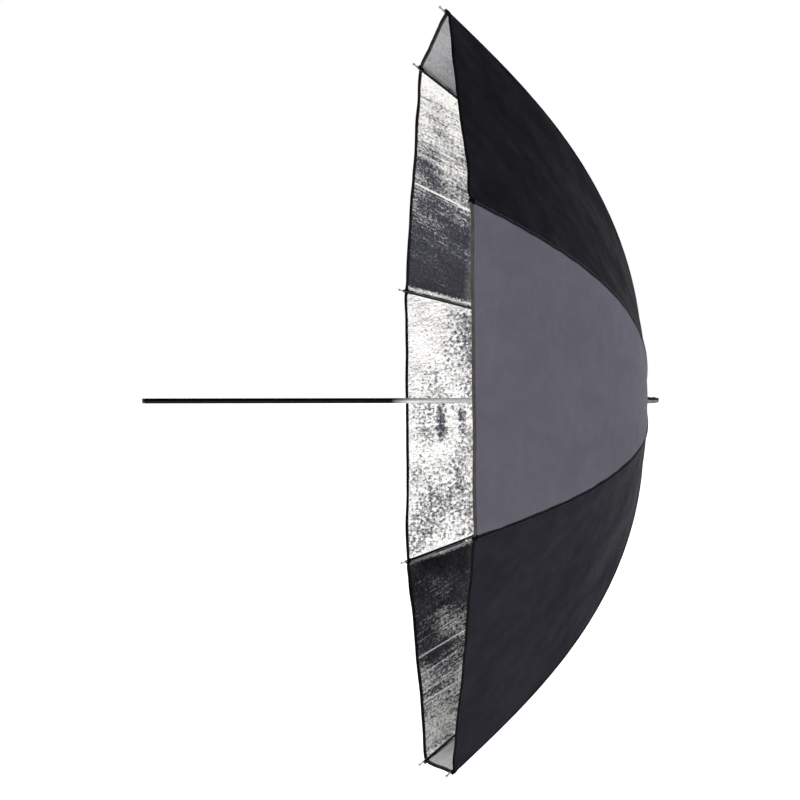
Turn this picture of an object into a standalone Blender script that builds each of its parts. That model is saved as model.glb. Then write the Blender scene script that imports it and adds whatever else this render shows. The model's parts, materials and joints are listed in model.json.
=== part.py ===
"""Umbrella reflector for studio flash.

A steel shaft carries eight sprung ribs, eight stretchers, the runner that folds them and a cloth canopy.

Frame: the shaft lies along X with the canopy's crown towards +X and its open, silver side facing -X.
+Z is up. The origin is on the shaft's centre line where a stand's clamp grips it. Lengths are metres and
angles are radians.

Each rib's own plane holds the shaft. Shapes that repeat are modelled for a rib that points straight up, with
local X along the shaft, local Z away from it and local Y across. Each copy is turned about the shaft.
"""

from math import asin, atan2, cos, hypot, pi, radians, sin, tau

import bmesh
import bpy
from mathutils import Matrix, Vector

# Driving dimensions
RIB_COUNT = 8
FIRST_RIB_ANGLE = radians(16.9)  # from +Z towards -Y
RIB_STEP = tau / RIB_COUNT
HALF_STEP = RIB_STEP / 2
GAP = 0.0003  # between pieces that touch

SHAFT_RADIUS = 0.0035
SHAFT_BORE = 0.0027
SHAFT_END_X = -0.0576
TIP_PLANE_X = 0.3275  # the plane of the canopy's corners

RIB_LENGTH = 0.6076
RIB_TIP_SLOPE = radians(46.9)  # how far a rib has bent at its tip
RIB_BEND_POWER = 1.15  # above 1 the rib leaves the crown flatter

CROWN_PIVOT_RADIUS = 0.0070
RIB_WIDTH = 0.0034
RIB_DEPTH = 0.0024
RIB_WALL = 0.0007
RIB_DROP = 0.0009  # from the canopy's inner line to the rib's outer face
EYE_HALF_HEIGHT = 0.0016
EYE_THICKNESS = 0.0012
EYE_HOLE = 0.0008
WIRE_RADIUS = 0.00045
WIRE_CLEARANCE = 0.00035

CLOTH_THICKNESS = 0.0012
CLOTH_START_RADIUS = 0.0102

JOINER_SHARE = 0.36  # how far along the rib the stretcher meets it
JOINER_DROP = 0.0063  # from the canopy's inner line to the stretcher's pivot
RUNNER_PIVOT_RADIUS = 0.0095
RUNNER_FROM_CROWN = 0.130  # from the crown's pivots to the runner's, open
RUNNER_TAIL = 0.034
RUNNER_BORE = SHAFT_RADIUS + GAP
FOLD_ANGLE = radians(60)

STRETCHER_HALF_WIDTH = 0.0027
STRETCHER_HALF_DEPTH = 0.0022
STRETCHER_WALL = 0.0007
STRETCHER_FORK = 0.034  # length of the fork that straddles the rib's tab

SLOT_WIDTH = 0.0018
CATCH_ANGLE = FIRST_RIB_ANGLE + 5.5 * RIB_STEP  # between two ribs
CATCH_THICKNESS = 0.0012
CATCH_ARM = 0.022
CATCH_HEIGHT = 0.0026
PIN_RADIUS = 0.0008
RIVET_RADIUS = 0.0011
TAB_HALF_LENGTH = 0.0055
TAB_NOSE = 0.0021  # radius of the tab's rounded end, about the rivet

# Finishes: colour, roughness, metallic
STEEL = ((0.62, 0.62, 0.63), 0.22, 1.0)
BLACK_PLASTIC = ((0.02, 0.02, 0.022), 0.45, 0.0)
BLACK_CLOTH = ((0.018, 0.018, 0.024), 0.75, 0.0)
GREY_CLOTH = ((0.13, 0.125, 0.15), 0.8, 0.0)
GREY_PANEL = 2  # the one pale panel, by its number


# Geometry of the fold


def rib_line(share):
    """(x, r) of the canopy's inner line over a rib, and its slope, at a share of the way from the crown."""
    steps = 60
    x, r, slope = 0.0, CROWN_PIVOT_RADIUS, 0.0
    for i in range(steps):
        slope = RIB_TIP_SLOPE * sin(pi / 2 * (share * (i + 0.5) / steps) ** RIB_BEND_POWER)
        x -= sin(slope) * RIB_LENGTH * share / steps
        r += cos(slope) * RIB_LENGTH * share / steps
    slope = RIB_TIP_SLOPE * sin(pi / 2 * share**RIB_BEND_POWER)
    return x, r, slope


TIP_BACK, TIP_RADIUS, _ = rib_line(1.0)
CROWN_X = TIP_PLANE_X - TIP_BACK  # the canopy's inner line at the crown
CROWN_PIVOT_X = CROWN_X - RIB_DROP - EYE_HALF_HEIGHT
FERRULE_END_X = CROWN_X + 0.0240
SHAFT_TOP_X = CROWN_X + 0.0120


def on_rib(share, drop):
    """(x, r) at a share of the rib's length, a distance inside the canopy's inner line."""
    x, r, slope = rib_line(share)
    return CROWN_X + x - drop * cos(slope), r - drop * sin(slope)


def folded(x, r, angle):
    """Where a point of the upright rib goes when the rib folds by an angle."""
    back, out = CROWN_PIVOT_X - x, r - CROWN_PIVOT_RADIUS
    turned = back * cos(angle) + out * sin(angle), out * cos(angle) - back * sin(angle)
    return CROWN_PIVOT_X - turned[0], CROWN_PIVOT_RADIUS + turned[1]


RUNNER_PIVOT_X = CROWN_PIVOT_X - RUNNER_FROM_CROWN
JOINER_X, JOINER_RADIUS = on_rib(JOINER_SHARE, JOINER_DROP)
STRETCHER_LENGTH = hypot(JOINER_X - RUNNER_PIVOT_X, JOINER_RADIUS - RUNNER_PIVOT_RADIUS)
STRETCHER_ANGLE = atan2(JOINER_RADIUS - RUNNER_PIVOT_RADIUS, JOINER_X - RUNNER_PIVOT_X)

# Closed: the runner goes where the folded rib's joiner puts it.
FOLDED_JOINER_X, FOLDED_JOINER_RADIUS = folded(JOINER_X, JOINER_RADIUS, FOLD_ANGLE)
FOLDED_STRETCHER_ANGLE = asin((FOLDED_JOINER_RADIUS - RUNNER_PIVOT_RADIUS) / STRETCHER_LENGTH)
RUNNER_TRAVEL = RUNNER_PIVOT_X - FOLDED_JOINER_X + STRETCHER_LENGTH * cos(FOLDED_STRETCHER_ANGLE)


def rib_angle(index):
    """The angle of rib 1, 2 and so on about the shaft."""
    return FIRST_RIB_ANGLE + (index - 1) * RIB_STEP


def about_shaft(angle):
    return Matrix.Rotation(angle, 4, "X")


# Modelling helpers


def own_material(name, finish):
    colour, roughness, metallic = finish
    material = bpy.data.materials.new(name)
    material.use_nodes = True
    shader = material.node_tree.nodes["Principled BSDF"]
    shader.inputs["Base Color"].default_value = (*colour, 1)
    shader.inputs["Roughness"].default_value = roughness
    shader.inputs["Metallic"].default_value = metallic
    return material


def add_object(name, mesh, finish, angle=0.0, pivot=(0.0, 0.0, 0.0)):
    """Links a mesh, modelled about a pivot in the upright rib's plane, turned about the shaft.

    A mesh without a finish is a guide that only shapes another piece.
    """
    piece = bpy.data.objects.new(name, mesh)
    piece.location = about_shaft(angle) @ Vector(pivot)
    piece.rotation_euler = (angle, 0, 0)
    bpy.context.scene.collection.objects.link(piece)
    if finish is None:
        piece.hide_render = True
        piece.display_type = "WIRE"
    elif not mesh.materials:
        mesh.materials.append(own_material(mesh.name, finish))
    return piece


def to_mesh(name, shape, sharp=radians(35)):
    bmesh.ops.recalc_face_normals(shape, faces=shape.faces)
    mesh = bpy.data.meshes.new(name)
    shape.to_mesh(mesh)
    shape.free()
    mesh.shade_smooth()
    mesh.set_sharp_from_angle(angle=sharp)
    return mesh


def spun(name, outline, segments, closed):
    """A profile of (x, r) points, turned about the shaft. A closed one joins its last point to its first."""
    shape = bmesh.new()
    points = [shape.verts.new((x, 0, r)) for x, r in outline]
    ends = points[1:] + points[:1] if closed else points[1:]
    edges = [shape.edges.new(pair) for pair in zip(points, ends)]
    bmesh.ops.spin(
        shape, geom=points + edges, axis=(1, 0, 0), cent=(0, 0, 0), steps=segments, angle=tau, use_merge=True
    )
    bmesh.ops.remove_doubles(shape, verts=shape.verts, dist=1e-6)
    return to_mesh(name, shape)


def turned(name, outline, segments):
    """A ring, whose outline is a closed loop."""
    return spun(name, outline, segments, closed=True)


def turned_solid(name, outline, segments):
    """A solid whose outline's first and last points lie on the shaft's centre line."""
    return spun(name, outline, segments, closed=False)


def lofted(sections, shape=None):
    """Closed loops of points, each joined to the next, with both ends capped, or added to a shape."""
    shape = shape or bmesh.new()
    loops = [[shape.verts.new(p) for p in section] for section in sections]
    for a, b in zip(loops, loops[1:]):
        for i in range(len(a)):
            j = (i + 1) % len(a)
            shape.faces.new((a[i], a[j], b[j], b[i]))
    shape.faces.new(loops[0])
    shape.faces.new(loops[-1])
    return shape


def cylinder(name, start, end, radius, segments=16):
    """A cylinder between two points."""
    shape = bmesh.new()
    start, end = Vector(start), Vector(end)
    along = end - start
    placed = Matrix.Translation((start + end) / 2) @ along.to_track_quat("Z", "Y").to_matrix().to_4x4()
    bmesh.ops.create_cone(
        shape,
        cap_ends=True,
        segments=segments,
        radius1=radius,
        radius2=radius,
        depth=along.length,
        matrix=placed,
    )
    return to_mesh(name, shape)


def box_into(shape, low, high, turn=None):
    """Adds a box between two corners to a shape."""
    low, high = Vector(low), Vector(high)
    placed = Matrix.Translation((low + high) / 2) @ Matrix.Diagonal((*(high - low), 1))
    bmesh.ops.create_cube(shape, size=1, matrix=(turn or Matrix.Identity(4)) @ placed)


def combine(piece, tool_mesh, name, operation, angle, pivot):
    modifier = piece.modifiers.new(name, "BOOLEAN")
    modifier.operation = operation
    modifier.solver = "EXACT"
    modifier.object = add_object(name, tool_mesh, None, angle, pivot)


def cut(piece, tool_mesh, name, angle=0.0, pivot=(0.0, 0.0, 0.0)):
    """Subtracts a mesh from a piece."""
    combine(piece, tool_mesh, name, "DIFFERENCE", angle, pivot)


def unite(piece, tool_mesh, name, angle=0.0, pivot=(0.0, 0.0, 0.0)):
    """Joins a mesh to a piece."""
    combine(piece, tool_mesh, name, "UNION", angle, pivot)


# Shaft and what is fixed to it


def radial_slots(name, x_low, x_high, bottom, top):
    """Slots for the eyes of the ribs or of the stretchers."""
    shape = bmesh.new()
    for index in range(1, RIB_COUNT + 1):
        low = (x_low, -SLOT_WIDTH / 2, bottom)
        high = (x_high, SLOT_WIDTH / 2, top)
        box_into(shape, low, high, about_shaft(rib_angle(index)))
    return to_mesh(name, shape)


def wire_groove(name, x, pivot_radius, top):
    """The groove that the eyes' wire lies in."""
    width = WIRE_RADIUS + WIRE_CLEARANCE
    low = pivot_radius - width
    return turned(name, [(x - width, low), (x - width, top), (x + width, top), (x + width, low)], 32)


def make_wire(name, x, pivot_radius):
    """The ring of wire that the eyes turn on."""
    sides = [tau * i / 8 for i in range(8)]
    section = [(x + WIRE_RADIUS * sin(side), pivot_radius + WIRE_RADIUS * cos(side)) for side in sides]
    add_object(name, turned(name, section, 48), STEEL)


def cross_pin(name, reach, radius):
    return cylinder(name, (0, 0, -reach), (0, 0, reach), radius)


def pin_hole(piece, name, x, angle):
    """A cross hole for a pin, with clearance."""
    hole = cross_pin(name, 0.02, PIN_RADIUS + GAP)
    cut(piece, hole, name, angle, (x, 0, 0))


CROWN_HUB_X = CROWN_PIVOT_X - 0.0070  # where the crown is pinned
RUNNER_FRONT = 0.0032  # from the runner's pivots forward to its end
STOP_PIN_X = RUNNER_PIVOT_X + RUNNER_FRONT + GAP + PIN_RADIUS
OPEN_CATCH_FACE_X = RUNNER_PIVOT_X - RUNNER_TAIL - GAP
WINDOW_FRONT = 0.012  # from the runner's pivots back to its window
WINDOW_LENGTH = 0.0105
CLOSED_CATCH_FACE_X = RUNNER_PIVOT_X - RUNNER_TRAVEL - WINDOW_FRONT - WINDOW_LENGTH + GAP
CATCH_SLOPE = 0.0085  # length of the slope that the runner rides over
CATCH_PIVOT_RADIUS = 0.0012


def catch_outline(face_x, towards):
    """A catch in the upright plane. Its steep face is at face_x, and its arm runs the way towards points."""
    top = SHAFT_RADIUS + CATCH_HEIGHT
    return [
        (face_x, 0.0006),
        (face_x, top - 0.0004),
        (face_x + towards * 0.0006, top),
        (face_x + towards * 0.0022, top),
        (face_x + towards * CATCH_SLOPE, SHAFT_RADIUS - 0.0012),
        (face_x + towards * CATCH_ARM, 0.0018),
        (face_x + towards * (CATCH_ARM + 0.0014), CATCH_PIVOT_RADIUS),
        (face_x + towards * CATCH_ARM, 0.0006),
    ]


def make_catch(name, face_x, towards):
    """A flat spring catch, which swings about the inner end of its arm."""
    pivot = (face_x + towards * CATCH_ARM, 0.0, CATCH_PIVOT_RADIUS)
    sections = [
        [(x - pivot[0], y, r - pivot[2]) for x, r in catch_outline(face_x, towards)]
        for y in (-CATCH_THICKNESS / 2, CATCH_THICKNESS / 2)
    ]
    add_object(name, to_mesh(name, lofted(sections)), STEEL, CATCH_ANGLE, pivot)


def make_shaft():
    """The tube, with a slot for each catch and holes for its two pins."""
    ring = [
        (SHAFT_END_X, SHAFT_BORE),
        (SHAFT_END_X, SHAFT_RADIUS),
        (SHAFT_TOP_X, SHAFT_RADIUS),
        (SHAFT_TOP_X, SHAFT_BORE),
    ]
    shaft = add_object("shaft_tube", turned("shaft_tube", ring, 32), STEEL)
    for name, face_x, towards in (
        ("open_catch_slot", OPEN_CATCH_FACE_X, -1),
        ("closed_catch_slot", CLOSED_CATCH_FACE_X, 1),
    ):
        slot = bmesh.new()
        ends = sorted((face_x - towards * 0.0008, face_x + towards * (CATCH_SLOPE + 0.002)))
        width = CATCH_THICKNESS / 2 + GAP
        box_into(slot, (ends[0], -width, 0.001), (ends[1], width, SHAFT_RADIUS + 0.001))
        cut(shaft, to_mesh(name, slot), name, CATCH_ANGLE)
    pin_hole(shaft, "stop_pin_hole", STOP_PIN_X, CATCH_ANGLE + pi / 2)
    pin_hole(shaft, "crown_pin_hole", CROWN_HUB_X, FIRST_RIB_ANGLE + HALF_STEP)


def make_shaft_end_plug():
    """The plug in the handle end, with a small flat nose."""
    plug = [
        (SHAFT_END_X - 0.0030, 0),
        (SHAFT_END_X - 0.0030, 0.0021),
        (SHAFT_END_X - 0.0024, 0.0030),
        (SHAFT_END_X - 0.0012, SHAFT_RADIUS),
        (SHAFT_END_X - GAP, SHAFT_RADIUS),
        (SHAFT_END_X - GAP, SHAFT_BORE - GAP),
        (SHAFT_END_X + 0.0100, SHAFT_BORE - GAP),
        (SHAFT_END_X + 0.0108, 0.0018),
        (SHAFT_END_X + 0.0108, 0),
    ]
    add_object("shaft_end_plug", turned_solid("shaft_end_plug", plug, 24), BLACK_PLASTIC)


def make_stop_pin():
    """The pin that the open runner comes up against."""
    pin = cross_pin("stop_pin", SHAFT_RADIUS + 0.0014, PIN_RADIUS)
    add_object("stop_pin", pin, STEEL, CATCH_ANGLE + pi / 2, (STOP_PIN_X, 0, 0))


def make_crown():
    """The notched hub that the ribs hang from, its pin, and its wire."""
    front, back = CROWN_PIVOT_X + 0.0021, CROWN_PIVOT_X - 0.0034
    hub_back = CROWN_HUB_X - 0.0030
    outline = [
        (hub_back, RUNNER_BORE),
        (hub_back, 0.0058),
        (hub_back + 0.0006, 0.0063),
        (back, 0.0063),
        (back, 0.0088),
        (back + 0.0006, 0.0094),
        (front - 0.0005, 0.0094),
        (front, 0.0089),
        (front, RUNNER_BORE),
    ]
    crown = add_object("crown_notch", turned("crown_notch", outline, 40), STEEL)
    clear_of_rim = 0.012
    slots = radial_slots("crown_slots", back - 0.001, front + 0.001, 0.0044, clear_of_rim)
    cut(crown, slots, "crown_slots")
    groove = wire_groove("crown_groove", CROWN_PIVOT_X, CROWN_PIVOT_RADIUS, clear_of_rim)
    cut(crown, groove, "crown_groove")
    pin_hole(crown, "crown_hub_hole", CROWN_HUB_X, FIRST_RIB_ANGLE + HALF_STEP)
    pin = cross_pin("crown_pin", 0.0060, PIN_RADIUS)
    add_object("crown_pin", pin, STEEL, FIRST_RIB_ANGLE + HALF_STEP, (CROWN_HUB_X, 0, 0))
    make_wire("crown_wire", CROWN_PIVOT_X, CROWN_PIVOT_RADIUS)


def make_ferrule():
    """The cloth patch over the crown, and the turned ferrule that clamps it."""
    outer = CROWN_X + CLOTH_THICKNESS + GAP
    patch = [
        (outer + 0.0014, RUNNER_BORE),
        (outer + 0.0024, RUNNER_BORE),
        (outer + 0.0018, 0.0120),
        (outer + 0.0006, 0.0185),
        (outer + 0.0001, 0.0185),
        (outer + 0.0008, 0.0110),
    ]
    add_object("crown_patch", turned("crown_patch", patch, 32), BLACK_CLOTH)
    seat = outer + 0.0024 + GAP
    bottom = SHAFT_TOP_X + GAP
    ferrule = [
        (bottom, 0),
        (bottom, RUNNER_BORE),
        (seat, RUNNER_BORE),
        (seat - 0.0004, 0.0100),
        (seat + 0.0004, 0.0104),
        (seat + 0.0016, 0.0070),
        (seat + 0.0024, 0.0050),
        (seat + 0.0030, 0.0046),
        (seat + 0.0086, 0.0044),
        (seat + 0.0090, 0.0038),
        (seat + 0.0104, 0.0038),
        (seat + 0.0108, 0.0044),
        (FERRULE_END_X - 0.0044, 0.0042),
        (FERRULE_END_X - 0.0040, 0.0035),
        (FERRULE_END_X - 0.0008, 0.0033),
        (FERRULE_END_X, 0.0025),
        (FERRULE_END_X, 0),
    ]
    add_object("ferrule", turned_solid("ferrule", ferrule, 32), STEEL)


# Runner


def make_runner():
    """The sliding sleeve, with slots for the stretchers' eyes, their wire, and a window for the catches."""
    back = RUNNER_PIVOT_X - RUNNER_TAIL
    outline = [
        (back, RUNNER_BORE),
        (back, 0.0078),
        (back + 0.0008, 0.0084),
        (back + 0.0030, 0.0084),
        (back + 0.0040, 0.0074),
        (back + 0.0060, 0.0062),
        (RUNNER_PIVOT_X - 0.0075, 0.0062),
        (RUNNER_PIVOT_X - 0.0036, 0.0108),
        (RUNNER_PIVOT_X - 0.0026, 0.0118),
        (RUNNER_PIVOT_X + 0.0026, 0.0118),
        (RUNNER_PIVOT_X + RUNNER_FRONT, 0.0110),
        (RUNNER_PIVOT_X + RUNNER_FRONT, RUNNER_BORE),
    ]
    runner = add_object("runner", turned("runner", outline, 40), BLACK_PLASTIC)
    clear_of_rim = 0.014
    ends = RUNNER_PIVOT_X - 0.0026, RUNNER_PIVOT_X + 0.005
    slots = radial_slots("runner_slots", *ends, 0.0058, clear_of_rim)
    cut(runner, slots, "runner_slots")
    groove = wire_groove("runner_groove", RUNNER_PIVOT_X, RUNNER_PIVOT_RADIUS, clear_of_rim)
    cut(runner, groove, "runner_groove")
    window = bmesh.new()
    front = RUNNER_PIVOT_X - WINDOW_FRONT
    width = CATCH_THICKNESS / 2 + 2 * GAP
    box_into(window, (front - WINDOW_LENGTH, -width, 0.002), (front, width, 0.010))
    cut(runner, to_mesh("runner_window", window), "runner_window", CATCH_ANGLE)
    make_wire("runner_wire", RUNNER_PIVOT_X, RUNNER_PIVOT_RADIUS)


# Ribs


def channel(half_width, hollow_half, outer, inner, web):
    """A U section in (across, outwards): its web is on the outer side and it opens inwards."""
    return [
        (-half_width, outer),
        (half_width, outer),
        (half_width, inner),
        (hollow_half, inner),
        (hollow_half, web),
        (-hollow_half, web),
        (-hollow_half, inner),
        (-half_width, inner),
    ]


EYE_END = 0.007  # along a rib from its pivot, where the flat eye starts to open into the channel
EYE_TO_CHANNEL = 0.006
EYE_CREASE = 0.0002  # the wall left beside the channel's crease where the rib is still flat


def rib_section(along):
    """The rib is a flat eye at the crown, and a channel from just past it to the tip."""
    x, r, slope = rib_line(max(along, 0.0) / RIB_LENGTH)
    r += min(along, 0.0)
    formed = min(max((along - EYE_END) / EYE_TO_CHANNEL, 0.0), 1.0)
    half = EYE_THICKNESS / 2 + (RIB_WIDTH / 2 - EYE_THICKNESS / 2) * formed
    hollow = half - RIB_WALL * formed - EYE_CREASE * (1 - formed)
    outer = -RIB_DROP
    inner = outer - 2 * EYE_HALF_HEIGHT + (2 * EYE_HALF_HEIGHT - RIB_DEPTH) * formed
    web = outer - RIB_WALL if formed == 1 else inner + EYE_CREASE / 2 + (outer - RIB_WALL - inner) * formed
    return [
        Vector((CROWN_X + x + n * cos(slope) - CROWN_PIVOT_X, t, r + n * sin(slope) - CROWN_PIVOT_RADIUS))
        for t, n in channel(half, hollow, outer, inner, web)
    ]


def rib_mesh():
    """Close sections where the eye becomes the channel, then even ones along the bend."""
    bend_sections = 18
    first_bend = 0.05 * RIB_LENGTH
    alongs = [-EYE_HALF_HEIGHT, 0.004, EYE_END, EYE_END + EYE_TO_CHANNEL / 2, EYE_END + EYE_TO_CHANNEL]
    alongs += [first_bend + (RIB_LENGTH - first_bend) * i / bend_sections for i in range(bend_sections + 1)]
    return to_mesh("rib", lofted([rib_section(along) for along in alongs]))


def eye_hole_mesh():
    """A hole across an eye, at its pivot."""
    return cylinder("eye_hole", (0, -0.002, 0), (0, 0.002, 0), EYE_HOLE)


def tab_meshes():
    """The tab that the stretcher is riveted to, and the shoulder of its rivet."""
    x, r, slope = rib_line(JOINER_SHARE)
    from_pivot = Matrix.Translation((CROWN_X + x - CROWN_PIVOT_X, 0, r - CROWN_PIVOT_RADIUS))
    placed = from_pivot @ Matrix.Rotation(-slope, 4, "Y")
    half = RIB_WIDTH / 2 - RIB_WALL - GAP
    top, pivot = -(RIB_DROP + RIB_WALL + GAP), -JOINER_DROP
    root = top - 0.0022  # where the tab narrows below the channel's edges
    outline = [(top, -TAB_HALF_LENGTH), (top, TAB_HALF_LENGTH), (root, TAB_HALF_LENGTH)]
    outline += [(pivot - TAB_NOSE * sin(pi * i / 8), TAB_NOSE * cos(pi * i / 8)) for i in range(9)]
    outline += [(root, -TAB_HALF_LENGTH)]
    sides = [[placed @ Vector((n, y, z)) for n, z in outline] for y in (-half, half)]
    tab = to_mesh("tab", lofted(sides))
    ends = [placed @ Vector((pivot, y, 0)) for y in (-RIB_WIDTH / 2, RIB_WIDTH / 2)]
    return tab, cylinder("shoulder", *ends, RIVET_RADIUS)


def tip_mesh():
    """The tip: a spigot in the rib's channel, a collar, and a neck with a ball end."""
    x, r, slope = rib_line(1.0)
    middle = -(RIB_DROP + RIB_WALL + (RIB_DEPTH - RIB_WALL) / 2)
    rib_end = Vector((CROWN_X + x - CROWN_PIVOT_X, 0, r - CROWN_PIVOT_RADIUS))
    start = rib_end + middle * Vector((cos(slope), 0, sin(slope)))
    along = Vector((-sin(slope), 0, cos(slope)))
    frame = along.to_track_quat("Z", "Y").to_matrix().to_4x4()
    spigot, collar, neck, ball = 0.0005, 0.0017, 0.0011, 0.0019
    outline = [(-0.0030, spigot), (GAP, spigot), (GAP, collar), (0.0024, collar), (0.0034, neck)]
    outline += [(0.0062, neck), (0.0072, 0.0016), (0.0084, ball), (0.0096, 0.0014)]
    sides = 12
    loops = [
        [start + frame @ Vector((w * cos(tau * i / sides), w * sin(tau * i / sides), d)) for i in range(sides)]
        for d, w in outline
    ]
    return to_mesh("tip", lofted(loops))


def make_ribs():
    rib, hole, tip = rib_mesh(), eye_hole_mesh(), tip_mesh()
    tab, shoulder = tab_meshes()
    pivot = (CROWN_PIVOT_X, 0, CROWN_PIVOT_RADIUS)
    for index in range(1, RIB_COUNT + 1):
        angle = rib_angle(index)
        piece = add_object(f"rib_{index}", rib, STEEL, angle, pivot)
        cut(piece, hole, f"rib_eye_{index}", angle, pivot)
        add_object(f"rib_tip_{index}", tip, STEEL, angle, pivot)
        fitting = add_object(f"rib_tab_{index}", tab, STEEL, angle, pivot)
        unite(fitting, shoulder, f"shoulder_{index}", angle, pivot)


# Stretchers


STRETCHER_EYE_END = 0.006
STRETCHER_EYE_TO_CHANNEL = 0.005
STRETCHER_PAST_PIVOT = 0.0026


def stretcher_section(along):
    """A flat eye at the runner, then a channel that opens towards the rib. Local X runs along it."""
    formed = min(max((along - STRETCHER_EYE_END) / STRETCHER_EYE_TO_CHANNEL, 0.0), 1.0)
    half = EYE_THICKNESS / 2 + (STRETCHER_HALF_WIDTH - EYE_THICKNESS / 2) * formed
    hollow = half - STRETCHER_WALL * formed - EYE_CREASE * (1 - formed)
    outer = EYE_HALF_HEIGHT + (STRETCHER_HALF_DEPTH - EYE_HALF_HEIGHT) * formed
    crease = EYE_CREASE / 2
    web = outer - crease - (2 * outer - STRETCHER_WALL - crease) * formed
    return [Vector((along, t, n)) for t, n in channel(half, hollow, -outer, outer, web)]


def rivet_heads(sides=16):
    """The two heads of the rivet, outside the fork's cheeks and set a little into them."""
    heads = bmesh.new()
    inner = STRETCHER_HALF_WIDTH - STRETCHER_WALL
    outline = [
        (inner + 0.0002, 0.0019),
        (STRETCHER_HALF_WIDTH + 0.0005, 0.0019),
        (STRETCHER_HALF_WIDTH + 0.0008, 0.0013),
    ]
    turns = [tau * i / sides for i in range(sides)]
    for side in (-1, 1):
        loops = [[(STRETCHER_LENGTH + w * cos(a), side * y, w * sin(a)) for a in turns] for y, w in outline]
        lofted(loops, heads)
    return to_mesh("rivet_heads", heads)


def stretcher_meshes():
    """The stretcher, what is cut away between its fork's cheeks, and its rivet's heads."""
    end = STRETCHER_LENGTH + STRETCHER_PAST_PIVOT
    eye_opens = STRETCHER_EYE_END + STRETCHER_EYE_TO_CHANNEL / 2
    alongs = [-EYE_HALF_HEIGHT, STRETCHER_EYE_END, eye_opens, STRETCHER_EYE_END + STRETCHER_EYE_TO_CHANNEL]
    alongs += [STRETCHER_LENGTH / 2, end]
    body = to_mesh("stretcher", lofted([stretcher_section(along) for along in alongs]))
    inner = STRETCHER_HALF_WIDTH - STRETCHER_WALL
    fork = bmesh.new()
    box_into(fork, (STRETCHER_LENGTH - STRETCHER_FORK, -inner, -0.004), (end + 0.002, inner, 0.004))
    meshes = body, to_mesh("fork", fork), rivet_heads()
    for mesh in meshes:
        mesh.transform(Matrix.Rotation(-STRETCHER_ANGLE, 4, "Y"))
    return meshes


def make_stretchers():
    body, fork, heads = stretcher_meshes()
    hole = eye_hole_mesh()
    pivot = (RUNNER_PIVOT_X, 0, RUNNER_PIVOT_RADIUS)
    for index in range(1, RIB_COUNT + 1):
        angle = rib_angle(index)
        stretcher = add_object(f"stretcher_{index}", body, STEEL, angle, pivot)
        cut(stretcher, fork, f"fork_{index}", angle, pivot)
        cut(stretcher, hole, f"stretcher_eye_{index}", angle, pivot)
        unite(stretcher, heads, f"rivet_heads_{index}", angle, pivot)


# Canopy


def cloth_point(share, across, side, lift):
    """A point of a half panel: share runs from crown to hem, across from the rib (0) to the fold crease (1).

    Between two ribs the cloth is stretched straight. side is 1 for the half past its rib and -1 for the one
    before it.
    """
    x, r, slope = rib_line(share)
    forward, outward = cos(slope) * cos(HALF_STEP), sin(slope)
    steep = hypot(forward, outward)
    middle = r * cos(HALF_STEP) + lift * outward / steep
    at_rib = (GAP / 2 - middle * sin(HALF_STEP)) / cos(HALF_STEP)
    t = at_rib + (-GAP / 2 - at_rib) * across
    y = -(middle * sin(HALF_STEP) + t * cos(HALF_STEP))
    z = middle * cos(HALF_STEP) - t * sin(HALF_STEP)
    return Vector((CROWN_X + x + lift * forward / steep - CROWN_PIVOT_X, side * y, z - CROWN_PIVOT_RADIUS))


def half_panel_mesh(name, side, rows=12):
    start = (CLOTH_START_RADIUS - CROWN_PIVOT_RADIUS) / RIB_LENGTH
    columns = (0.0, 0.5, 1.0)
    sections = []
    for row in range(rows + 1):
        share = start + (1 - start) * row / rows
        inner = [cloth_point(share, across, side, GAP) for across in columns]
        outer = [cloth_point(share, across, side, GAP + CLOTH_THICKNESS) for across in reversed(columns)]
        sections.append(inner + outer)
    return to_mesh(name, lofted(sections), sharp=radians(50))


def make_canopy():
    """Panel 1 lies between ribs 1 and 2. Half a is beside its first rib and half b beside the next."""
    pivot = (CROWN_PIVOT_X, 0, CROWN_PIVOT_RADIUS)
    for index in range(1, RIB_COUNT + 1):
        finish = GREY_CLOTH if index == GREY_PANEL else BLACK_CLOTH
        for half, side, rib in (("a", 1, index), ("b", -1, index % RIB_COUNT + 1)):
            name = f"canopy_panel_{index}_{half}"
            add_object(name, half_panel_mesh(name, side), finish, rib_angle(rib), pivot)


def clear_scene():
    for piece in list(bpy.data.objects):
        bpy.data.objects.remove(piece)


clear_scene()
make_shaft()
make_shaft_end_plug()
make_stop_pin()
make_catch("open_catch", OPEN_CATCH_FACE_X, -1)
make_catch("closed_catch", CLOSED_CATCH_FACE_X, 1)
make_crown()
make_ferrule()
make_runner()
make_ribs()
make_stretchers()
make_canopy()
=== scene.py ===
"""Looks for the umbrella reflector: cloth, hems, seams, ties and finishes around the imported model.

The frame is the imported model's, in metres: the shaft lies along X, the crown is towards +X and the silver
side faces -X. A point of the cloth is given by the rib that it hangs from, a share of that rib's length from
the crown to the hem, a share of the way across from the rib to the fold crease halfway to the next one, and a
lift above the rib's line.
"""

import json
from math import cos, exp, hypot, pi, radians, sin, tau

import bmesh
import bpy
from mathutils import Matrix, Vector, noise


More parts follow.
